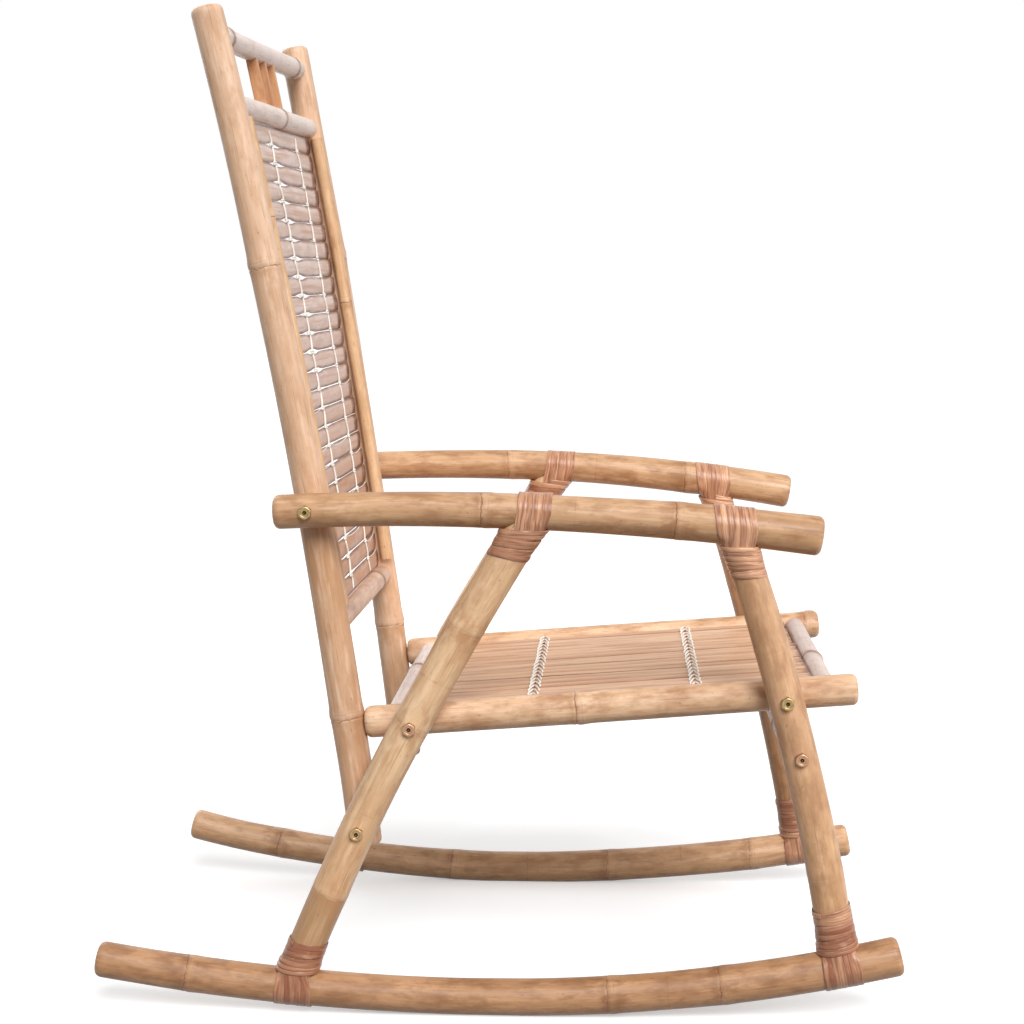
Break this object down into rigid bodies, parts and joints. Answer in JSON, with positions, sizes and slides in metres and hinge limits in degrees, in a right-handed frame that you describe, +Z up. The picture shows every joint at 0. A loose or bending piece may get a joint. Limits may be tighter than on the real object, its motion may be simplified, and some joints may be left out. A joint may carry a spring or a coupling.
{
  "type": "bamboo rocking chair",
  "caption": "Bamboo pole rocking chair with bolted joints, cane-lashed legs, straight arms, a laced slat back and a stitched slat seat.",
  "frame": {"origin": "on the floor under the rockers, midway between their ends and midway between the two sides", "axes": "+X towards the chair's front, +Y to the sitter's left, +Z up"},
  "size_m": [0.8622, 0.5973, 1.0724],
  "materials": {
    "bamboo_pole": "smooth golden-tan bamboo culm, satin, with raised rings",
    "pale_bamboo": "paler, greyer bamboo, satin",
    "split_bamboo": "split bamboo, warm tan, satin",
    "cane": "reddish-brown split cane, satin",
    "cord": "off-white twisted cord, matt",
    "zinc_steel": "yellow-passivated zinc-plated steel"
  },
  "bodies": {
    "root": {"back_lacing_1": "cord", "back_lacing_2": "cord", "back_lacing_3": "cord", "back_lower_rail": "pale_bamboo", "back_slat_panel": "pale_bamboo", "back_top_rail": "pale_bamboo", "back_upper_rail": "pale_bamboo", "crest_spindle_1": "split_bamboo", "crest_spindle_2": "split_bamboo", "crest_spindle_3": "split_bamboo", "front_stretcher": "pale_bamboo", "left_arm": "bamboo_pole", "left_arm_bolt": "zinc_steel", "left_arm_nut": "zinc_steel", "left_back_post": "bamboo_pole", "left_front_arm_binding": "cane", "left_front_arm_saddle": "cane", "left_front_leg": "bamboo_pole", "left_front_rocker_binding": "cane", "left_front_rocker_saddle": "cane", "left_front_seat_bolt": "zinc_steel", "left_front_seat_nut": "zinc_steel", "left_post_bolt": "zinc_steel", "left_post_nut": "zinc_steel", "left_rear_arm_binding": "cane", "left_rear_arm_saddle": "cane", "left_rear_leg": "bamboo_pole", "left_rear_rocker_binding": "cane", "left_rear_rocker_saddle": "cane", "left_rear_seat_bolt": "zinc_steel", "left_rear_seat_nut": "zinc_steel", "left_rocker": "bamboo_pole", "left_seat_rail": "bamboo_pole", "left_stretcher_screw": "zinc_steel", "right_arm": "bamboo_pole", "right_arm_bolt": "zinc_steel", "right_arm_nut": "zinc_steel", "right_back_post": "bamboo_pole", "right_front_arm_binding": "cane", "right_front_arm_saddle": "cane", "right_front_leg": "bamboo_pole", "right_front_rocker_binding": "cane", "right_front_rocker_saddle": "cane", "right_front_seat_bolt": "zinc_steel", "right_front_seat_nut": "zinc_steel", "right_post_bolt": "zinc_steel", "right_post_nut": "zinc_steel", "right_rear_arm_binding": "cane", "right_rear_arm_saddle": "cane", "right_rear_leg": "bamboo_pole", "right_rear_rocker_binding": "cane", "right_rear_rocker_saddle": "cane", "right_rear_seat_bolt": "zinc_steel", "right_rear_seat_nut": "zinc_steel", "right_rocker": "bamboo_pole", "right_seat_rail": "bamboo_pole", "right_stretcher_screw": "zinc_steel", "seat_front_rail": "pale_bamboo", "seat_rear_rail": "pale_bamboo", "seat_slat_mat": "split_bamboo"}
  },
  "joints": []
}
